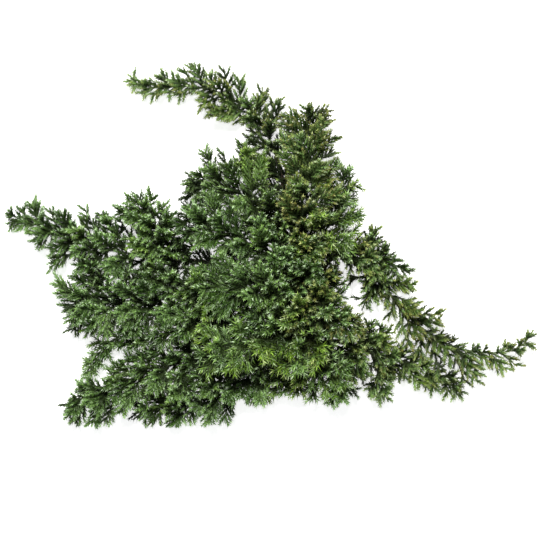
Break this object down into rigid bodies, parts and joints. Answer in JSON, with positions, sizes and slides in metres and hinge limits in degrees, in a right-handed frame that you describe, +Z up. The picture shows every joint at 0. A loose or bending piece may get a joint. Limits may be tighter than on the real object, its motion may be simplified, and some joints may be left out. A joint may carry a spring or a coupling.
{
  "type": "preserved juniper sprig",
  "caption": "Flat, spreading sprig of preserved creeping juniper: a woody stem whose limbs fan out into dense green shoots of short awl-shaped needles, lying on a surface.",
  "frame": {"origin": "on the surface that the sprig lies on, in the middle of the box that it lies in", "axes": "+Z up from the surface, +X along the sprig's long way, from its left arm to its right arm, +Y from its cut butt's side to its top arm"},
  "size_m": [0.475, 0.3242, 0.0544],
  "materials": {
    "bark": "rough brown bark",
    "foliage": "matte green needles with a pale bloom, treated to stay soft"
  },
  "bodies": {
    "root": {"bottom_leafy_end": "foliage", "bottom_left_leafy_end": "foliage", "bottom_left_spray_1": "foliage", "bottom_left_spray_2": "foliage", "bottom_left_spray_3": "foliage", "bottom_left_spray_4": "foliage", "bottom_left_spray_5": "foliage", "bottom_middle_leafy_end": "foliage", "bottom_right_leafy_end": "foliage", "bottom_spray_1": "foliage", "centre_left_leafy_end": "foliage", "centre_low_leafy_end": "foliage", "centre_middle_leafy_end": "foliage", "centre_right_leafy_end": "foliage", "left_arm_leafy_end": "foliage", "left_arm_spray_1": "foliage", "left_arm_spray_2": "foliage", "left_arm_spray_3": "foliage", "left_arm_spray_4": "foliage", "left_arm_spray_5": "foliage", "left_arm_spray_6": "foliage", "left_hook_leafy_end": "foliage", "left_low_leafy_end": "foliage", "left_low_spray_1": "foliage", "left_low_spray_2": "foliage", "left_low_spray_3": "foliage", "left_low_spray_4": "foliage", "left_tuft_leafy_end": "foliage", "main_stem_spray_1": "foliage", "main_stem_spray_2": "foliage", "main_stem_spray_3": "foliage", "main_stem_spray_4": "foliage", "main_stem_spray_5": "foliage", "main_stem_spray_6": "foliage", "main_stem_spray_7": "foliage", "over_butt_leafy_end": "foliage", "over_stem_leafy_end": "foliage", "right_arm_leafy_end": "foliage", "right_arm_spray_1": "foliage", "right_arm_spray_2": "foliage", "right_arm_spray_3": "foliage", "right_arm_spray_4": "foliage", "right_arm_spray_5": "foliage", "right_hang_leafy_end": "foliage", "right_low_leafy_end": "foliage", "right_low_spray_1": "foliage", "right_low_spray_2": "foliage", "right_low_spray_3": "foliage", "right_tuft_leafy_end": "foliage", "right_up_leafy_end": "foliage", "top_arm_leafy_end": "foliage", "top_arm_spray_1": "foliage", "top_arm_spray_2": "foliage", "top_arm_spray_3": "foliage", "top_arm_spray_4": "foliage", "top_right_leafy_end": "foliage", "upper_left_leafy_end": "foliage", "woody_stem": "bark"}
  },
  "joints": []
}
